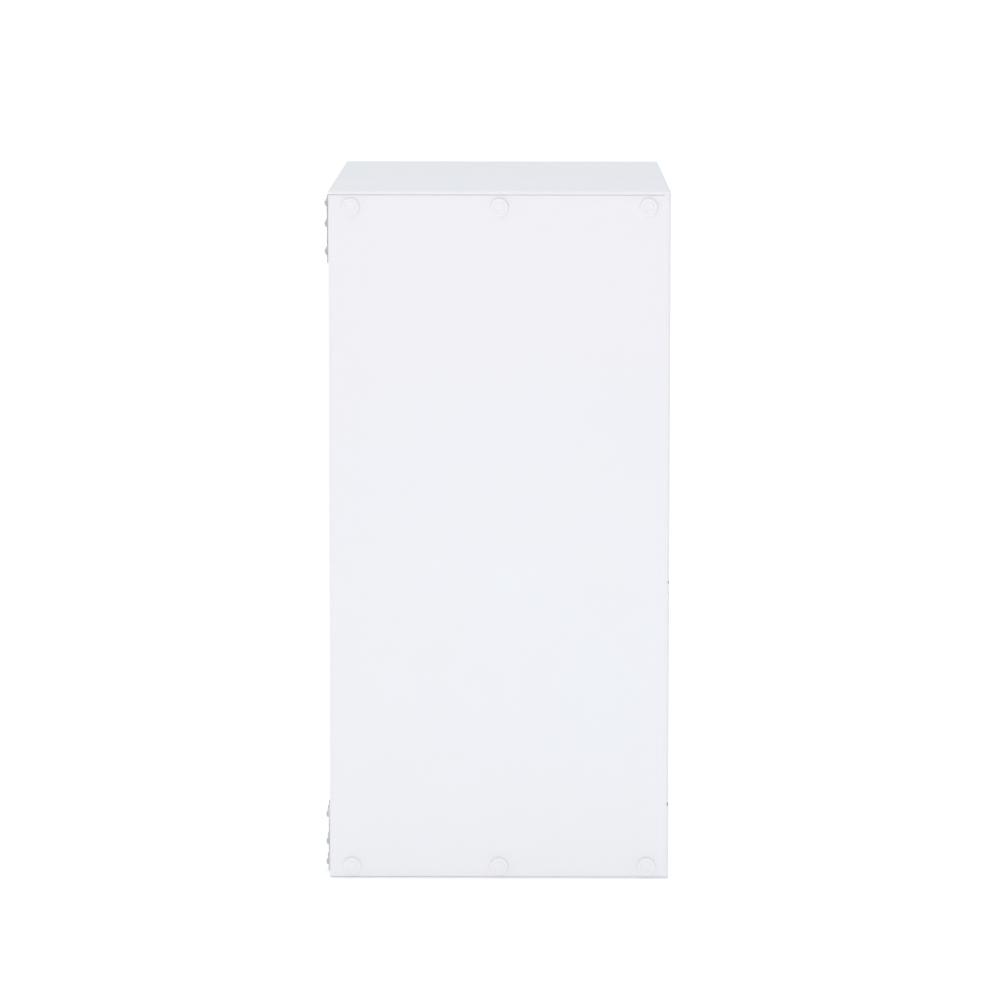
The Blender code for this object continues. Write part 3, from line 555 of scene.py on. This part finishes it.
def make_casing():
    """Side panels, lid, base, back, shelf and ledges."""
    for node, chips in (("side_panel_right", CHIPS), ("side_panel_left", CHIPS[:1])):
        low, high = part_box(node)
        rear_x = high.x if node.endswith("right") else low.x
        spots = [(Vector((rear_x, high.y, z)), radius) for z, radius in chips]
        paint = enamel(f"enamel_{node}", WHITE, 0.42, (low, high), 0.8, spots)
        softened(node, OUTER_EASE, paint)
    for node, end in (("top_panel", 1), ("bottom_panel", -1)):
        paint = enamel(f"enamel_{node}", WHITE, 0.42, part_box(node), 0.5)
        softened(node, SHEET_EASE, paint, rim_of(node, end), TRAY_BEND)
    inside = enamel("enamel_inside", INNER_WHITE, 0.50)
    softened("back_panel", SHEET_EASE, inside)
    shelf_paint = enamel("enamel_shelf", INNER_WHITE, 0.48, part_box("shelf"), 0.5)
    softened("shelf", SHEET_EASE, shelf_paint, rim_of("shelf", 1), SHELF_BEND)
    for node in ("shelf_ledge_right", "shelf_ledge_left"):
        softened(node, SHEET_EASE, inside)


def make_door():
    """Door pan, stiffener and pull pocket."""
    low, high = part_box("door_panel")
    paint = enamel("enamel_door", WHITE, 0.40, (low, high), 0.6)
    ends = [[(1, low.y), (2, low.z)], [(1, low.y), (2, high.z)]]
    softened("door_panel", OUTER_EASE, paint, ends, DOOR_BEND)
    inside = enamel("enamel_door_inside", INNER_WHITE, 0.50)
    softened("door_stiffener", SHEET_EASE, inside)
    softened("pull_pocket", SHEET_EASE, inside)


def make_bolts():
    """Capped connector bolts: a round-rimmed, dished cap that sits on the panel."""
    low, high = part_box("bolt_right_1")
    radius = (high.y - low.y) / 2 / MM
    height = (high.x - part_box("side_panel_right")[1].x) / MM
    length = (high.x - low.x) / MM
    shoulder = (radius - CAP_SHOULDER_IN, -CAP_SHOULDER_ROUND)
    profile = [
        (0, -length), (CAP_SHANK - 0.4, -length), (CAP_SHANK, 0.4 - length),
        (CAP_SHANK, -height), (radius - 0.1, -height), (radius, 0.1 - height),
        *arc((radius - CAP_RIM, -CAP_RIM), CAP_RIM, 0, 90, 8),
        *arc(shoulder, CAP_SHOULDER_ROUND, 90, 122, 5)[1:],
        *reversed(arc((CAP_DISH_R, CAP_DISH_RISE), CAP_DISH_R, 270, 302, 5)),
        (0, -CAP_DISH_DEPTH)]
    mesh = mesh_from(turned(profile, CAP_SIDES), "capped_bolt", MM)
    paint = enamel("enamel_bolt", WHITE, 0.34)
    for node in nodes_like("bolt"):
        sign = 1 if "_right_" in node else -1
        stand_in(node, mesh.copy(), paint, outward(node, 0, sign), "cap")


def thread(start, end):
    """Profile points of a screw thread's ridges from start up to end."""
    points = []
    height = start
    while height + THREAD_PITCH <= end:
        points += [(SCREW_SHANK - THREAD_DEPTH, height), (SCREW_SHANK, height + THREAD_PITCH / 2)]
        height += THREAD_PITCH
    return points + [(SCREW_SHANK - THREAD_DEPTH, height)]


def cross_recess(shape, reach, width, depth):
    """Cut a narrowing cross recess into a shape in millimetres whose top is at zero."""
    item = bpy.data.objects.new("screw_blank", mesh_from(shape, "screw_blank"))
    bpy.context.scene.collection.objects.link(item)
    for number in range(2):
        cutter = bmesh.new()
        bmesh.ops.create_cube(cutter, size=1.0)
        for vert in cutter.verts:
            above = vert.co.z > 0
            grow = 1.15 if above else 0.55
            vert.co = Vector((vert.co.x * 2 * reach * grow, vert.co.y * width * grow,
                              1.0 if above else -depth))
        turn = Matrix.Rotation(math.pi / 2 * number, 3, "Z")
        bmesh.ops.rotate(cutter, cent=(0, 0, 0), matrix=turn, verts=cutter.verts)
        tool = bpy.data.objects.new("recess", mesh_from(cutter, "recess"))
        bpy.context.scene.collection.objects.link(tool)
        step = item.modifiers.new("recess", "BOOLEAN")
        step.solver = "EXACT"
        step.operation = "DIFFERENCE"
        step.object = tool
    bpy.context.view_layer.update()
    cut = bmesh.new()
    cut.from_object(item, bpy.context.evaluated_depsgraph_get())
    for done in (*[step.object for step in item.modifiers], item):
        bpy.data.objects.remove(done, do_unlink=True)
    return mesh_from(cut, "cross_recess_screw", MM)


def screw_mesh(node, axis, head_height):
    """A domed screw with a cross recess and a threaded shank, its head's top at zero."""
    low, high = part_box(node)
    radius = (high.z - low.z) / 2 / MM
    length = (high[axis] - low[axis]) / MM
    rise = head_height * DOME_RISE
    dome = [(x * radius, (y - 1) * rise) for x, y in arc((0, 0), 1.0, 0, 90, 9)[:-1]]
    profile = [
        (0, -length), (SCREW_SHANK * 0.45, -length), (SCREW_SHANK * 0.8, TIP_LENGTH - length),
        *thread(TIP_LENGTH - length, -head_height - 0.3),
        (SCREW_SHANK * 0.8, -head_height), (radius - 0.12, -head_height),
        (radius, -head_height + 0.12), *dome, (0, 0)]
    return cross_recess(turned(profile, SCREW_SIDES), radius * RECESS_REACH,
                        radius * RECESS_WIDTH, rise * RECESS_DEPTH)


def make_hardware():
    """Hinges, screws, lock, catch and bumpers."""
    nickel = plated("nickel", (0.62, 0.61, 0.59), (0.38, 0.37, 0.36), 0.30, 900.0, (1, 1, 0.06))
    zinc = plated("zinc", (0.61, 0.62, 0.63), (0.38, 0.39, 0.40), 0.30, 700.0, (1, 1, 1))
    chrome = plated("chrome", (0.74, 0.74, 0.75), (0.55, 0.55, 0.57), 0.14, 1200.0, (1, 0.2, 1))
    rubber = moulded("rubber", (0.045, 0.045, 0.047), 0.80, 1500.0, 0.05 * MM)
    plastic = moulded("plastic", (0.025, 0.025, 0.028), 0.50, 2200.0, 0.03 * MM)
    hinge_screw = screw_mesh("frame_screw_top_1", 1, HINGE_HEAD)
    for node in nodes_like("frame_screw", "door_screw"):
        stand_in(node, hinge_screw.copy(), zinc, outward(node, 1, -1), "head")
    back_screw = screw_mesh("back_screw_1", 1, BACK_HEAD)
    for node in nodes_like("back_screw"):
        stand_in(node, back_screw.copy(), zinc, outward(node, 1, 1), "head")
    for node in nodes_like("hinge_frame", "hinge_door"):
        softened(node, LEAF_EASE, nickel)
    for node in nodes_like("hinge_pin"):
        softened(node, PIN_EASE, zinc)
    for node in ("lock_barrel", "lock_plug"):
        softened(node, METAL_EASE, chrome)
    for node in ("lock_nut", "lock_cam", "cam_screw", "catch_plate"):
        softened(node, METAL_EASE, zinc)
    softened("catch_magnet", PLASTIC_EASE, plastic, steps=SOFT_STEPS)
    for node in ("bumper_left", "bumper_right"):
        softened(node, RUBBER_EASE, rubber, steps=SOFT_STEPS)


make_camera()
make_studio()
make_casing()
make_door()
make_bolts()
make_hardware()
